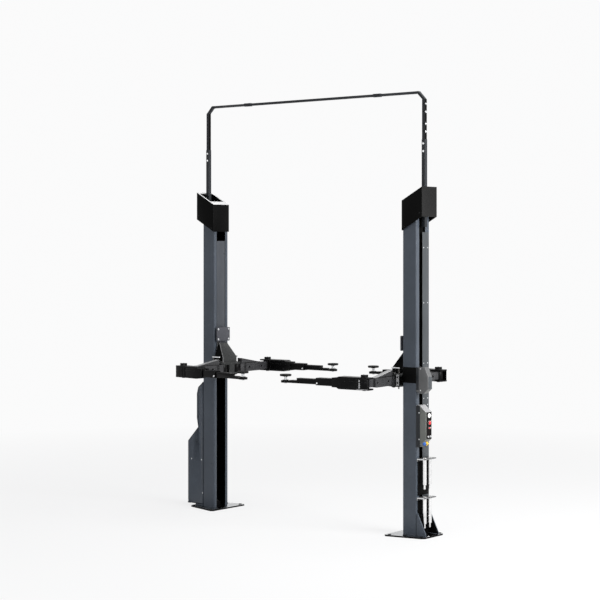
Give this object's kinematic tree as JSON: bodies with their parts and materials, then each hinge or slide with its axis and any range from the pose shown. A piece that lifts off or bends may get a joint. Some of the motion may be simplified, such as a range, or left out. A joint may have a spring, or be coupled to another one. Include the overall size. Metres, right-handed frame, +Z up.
{
  "type": "two post car lift",
  "caption": "Two post vehicle lift with travelling carriages, double jointed telescopic arms, screw pads, hooded post heads and an overhead cable gantry.",
  "frame": {"origin": "floor level, midway between the two posts, at the centre of the anchor hole patterns", "axes": "+X from the left post to the right post, +Y to the rear, +Z up"},
  "size_m": [3.17, 1.5342, 4.298],
  "materials": {
    "column_paint": "satin powder coat, dark blue grey",
    "light_plate": "smooth light grey coat",
    "hood_black": "satin black powder coat",
    "gantry_black": "satin dark grey powder coat",
    "screw_steel": "greased steel",
    "cover_grey": "satin mid grey powder coat",
    "panel_black": "matt moulded",
    "rack_steel": "satin dark coat",
    "extension_zinc": "bright zinc",
    "carriage_grey": "satin dark grey powder coat",
    "arm_black": "satin black powder coat",
    "link_grey": "satin dark grey powder coat",
    "pad_rubber": "ribbed black rubber on a zinc screw"
  },
  "bodies": {
    "frame": {"base_plate_left": "light_plate", "base_plate_right": "light_plate", "post_left": "column_paint", "post_right": "column_paint", "hoods": "hood_black", "gantry_lower_tubes": "gantry_black", "gantry_upper_tubes": "gantry_black", "gantry_corners": "gantry_black", "gantry_crossbar": "gantry_black", "base_gussets": "column_paint", "lifting_screws": "screw_steel", "post_caps": "column_paint", "cable_covers": "cover_grey", "control_box": "cover_grey", "control_panel": "panel_black", "guard_box": "cover_grey", "side_cover": "column_paint", "extension_racks": "rack_steel", "pad_extensions": "extension_zinc"},
    "carriage_left": {"carriage_left": "carriage_grey", "arm_head_left": "carriage_grey", "bumper_left": "cover_grey"},
    "first_link_front_left": {"first_link_front_left": "link_grey"},
    "outer_stage_front_left": {"outer_stage_front_left": "arm_black"},
    "middle_stage_front_left": {"middle_stage_front_left": "arm_black"},
    "inner_stage_front_left": {"inner_stage_front_left": "arm_black"},
    "screw_pad_front_left": {"screw_pad_front_left": "pad_rubber"},
    "first_link_rear_left": {"first_link_rear_left": "link_grey"},
    "outer_stage_rear_left": {"outer_stage_rear_left": "arm_black"},
    "middle_stage_rear_left": {"middle_stage_rear_left": "arm_black"},
    "inner_stage_rear_left": {"inner_stage_rear_left": "arm_black"},
    "screw_pad_rear_left": {"screw_pad_rear_left": "pad_rubber"},
    "carriage_right": {"carriage_right": "carriage_grey", "arm_head_right": "carriage_grey", "bumper_right": "cover_grey"},
    "first_link_front_right": {"first_link_front_right": "link_grey"},
    "outer_stage_front_right": {"outer_stage_front_right": "arm_black"},
    "middle_stage_front_right": {"middle_stage_front_right": "arm_black"},
    "inner_stage_front_right": {"inner_stage_front_right": "arm_black"},
    "screw_pad_front_right": {"screw_pad_front_right": "pad_rubber"},
    "first_link_rear_right": {"first_link_rear_right": "link_grey"},
    "outer_stage_rear_right": {"outer_stage_rear_right": "arm_black"},
    "middle_stage_rear_right": {"middle_stage_rear_right": "arm_black"},
    "inner_stage_rear_right": {"inner_stage_rear_right": "arm_black"},
    "screw_pad_rear_right": {"screw_pad_rear_right": "pad_rubber"}
  },
  "joints": [
    {"name": "lift_left", "type": "slide", "parent": "frame", "child": "carriage_left", "axis": [0, 0, 1], "range_m": [-1.29, 0.27]},
    {"name": "shoulder_front_left", "type": "hinge", "parent": "carriage_left", "child": "first_link_front_left", "pos_m": [-1.13, -0.1, 1.495], "axis": [0, 0, -1], "range_deg": [-56, 12]},
    {"name": "elbow_front_left", "type": "hinge", "parent": "first_link_front_left", "child": "outer_stage_front_left", "pos_m": [-1.18526, -0.63475, 1.495], "axis": [0, 0, 1], "range_deg": [-80, 25]},
    {"name": "middle_slide_front_left", "type": "slide", "parent": "outer_stage_front_left", "child": "middle_stage_front_left", "axis": [0.9954, -0.0958, 0], "range_m": [-0.125, 0.055]},
    {"name": "inner_slide_front_left", "type": "slide", "parent": "middle_stage_front_left", "child": "inner_stage_front_left", "axis": [0.9954, -0.0958, 0], "range_m": [-0.185, 0.05]},
    {"name": "pad_screw_front_left", "type": "slide", "parent": "inner_stage_front_left", "child": "screw_pad_front_left", "axis": [0, 0, 1], "range_m": [-0.025, 0.008]},
    {"name": "shoulder_rear_left", "type": "hinge", "parent": "carriage_left", "child": "first_link_rear_left", "pos_m": [-1.13, 0.1, 1.495], "axis": [0, 0, 1], "range_deg": [-60, 8]},
    {"name": "elbow_rear_left", "type": "hinge", "parent": "first_link_rear_left", "child": "outer_stage_rear_left", "pos_m": [-1.14032, 0.6375, 1.495], "axis": [0, 0, -1], "range_deg": [-80, 25]},
    {"name": "middle_slide_rear_left", "type": "slide", "parent": "outer_stage_rear_left", "child": "middle_stage_rear_left", "axis": [0.9976, 0.0698, 0], "range_m": [-0.1065, 0.0735]},
    {"name": "inner_slide_rear_left", "type": "slide", "parent": "middle_stage_rear_left", "child": "inner_stage_rear_left", "axis": [0.9976, 0.0698, 0], "range_m": [-0.1665, 0.0685]},
    {"name": "pad_screw_rear_left", "type": "slide", "parent": "inner_stage_rear_left", "child": "screw_pad_rear_left", "axis": [0, 0, 1], "range_m": [-0.025, 0.008]},
    {"name": "lift_right", "type": "slide", "parent": "frame", "child": "carriage_right", "axis": [0, 0, 1], "range_m": [-1.29, 0.27]},
    {"name": "shoulder_front_right", "type": "hinge", "parent": "carriage_right", "child": "first_link_front_right", "pos_m": [1.13, -0.1, 1.495], "axis": [0, 0, 1], "range_deg": [-56, 12]},
    {"name": "elbow_front_right", "type": "hinge", "parent": "first_link_front_right", "child": "outer_stage_front_right", "pos_m": [1.18526, -0.63475, 1.495], "axis": [0, 0, -1], "range_deg": [-80, 25]},
    {"name": "middle_slide_front_right", "type": "slide", "parent": "outer_stage_front_right", "child": "middle_stage_front_right", "axis": [-0.9954, -0.0958, 0], "range_m": [-0.125, 0.055]},
    {"name": "inner_slide_front_right", "type": "slide", "parent": "middle_stage_front_right", "child": "inner_stage_front_right", "axis": [-0.9954, -0.0958, 0], "range_m": [-0.185, 0.05]},
    {"name": "pad_screw_front_right", "type": "slide", "parent": "inner_stage_front_right", "child": "screw_pad_front_right", "axis": [0, 0, 1], "range_m": [-0.025, 0.008]},
    {"name": "shoulder_rear_right", "type": "hinge", "parent": "carriage_right", "child": "first_link_rear_right", "pos_m": [1.13, 0.1, 1.495], "axis": [0, 0, -1], "range_deg": [-60, 8]},
    {"name": "elbow_rear_right", "type": "hinge", "parent": "first_link_rear_right", "child": "outer_stage_rear_right", "pos_m": [1.14032, 0.6375, 1.495], "axis": [0, 0, 1], "range_deg": [-80, 25]},
    {"name": "middle_slide_rear_right", "type": "slide", "parent": "outer_stage_rear_right", "child": "middle_stage_rear_right", "axis": [-0.9976, 0.0698, 0], "range_m": [-0.1065, 0.0735]},
    {"name": "inner_slide_rear_right", "type": "slide", "parent": "middle_stage_rear_right", "child": "inner_stage_rear_right", "axis": [-0.9976, 0.0698, 0], "range_m": [-0.1665, 0.0685]},
    {"name": "pad_screw_rear_right", "type": "slide", "parent": "inner_stage_rear_right", "child": "screw_pad_rear_right", "axis": [0, 0, 1], "range_m": [-0.025, 0.008]}
  ],
  "couplings": [
    {"joint": "lift_right", "follows": "lift_left", "ratio": 1}
  ]
}
